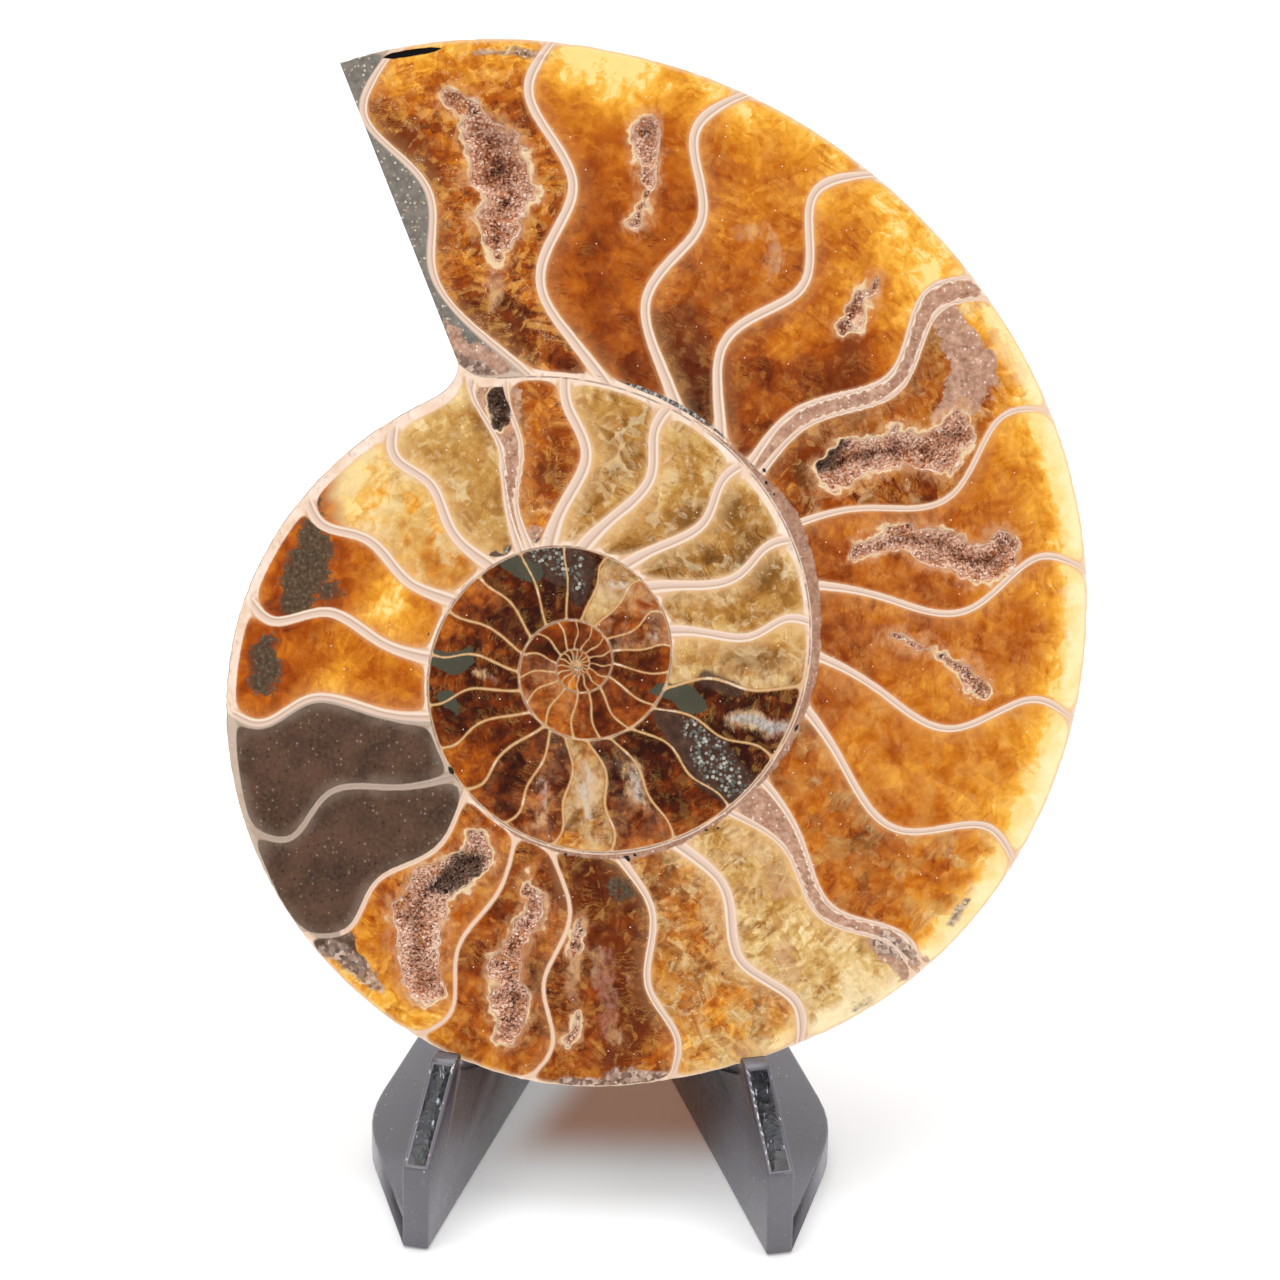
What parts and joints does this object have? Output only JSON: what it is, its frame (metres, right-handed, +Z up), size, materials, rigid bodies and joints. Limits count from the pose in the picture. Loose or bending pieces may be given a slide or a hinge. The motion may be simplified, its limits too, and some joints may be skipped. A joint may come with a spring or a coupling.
{
  "type": "ammonite fossil half on a display stand",
  "caption": "Sawn and polished half of an ammonite, its chambers filled with honey calcite, leaning in the lips of a V-shaped black plastic display stand.",
  "frame": {"origin": "on the floor, under the middle of the object's bounding box", "axes": "+Z up, the polished cut face looks towards -Y and leans back 24 degrees, +X to the right of someone facing it"},
  "size_m": [0.1074, 0.0878, 0.1355],
  "materials": {
    "calcite": "polished honey calcite with cream septa on the cut, waxy shell outside",
    "black_plastic": "glossy moulded black, rough on the sloping fronts of the lips"
  },
  "bodies": {
    "root": {"ammonite_half": "calcite", "stand_leg_left": "black_plastic", "stand_leg_right": "black_plastic"}
  },
  "joints": []
}
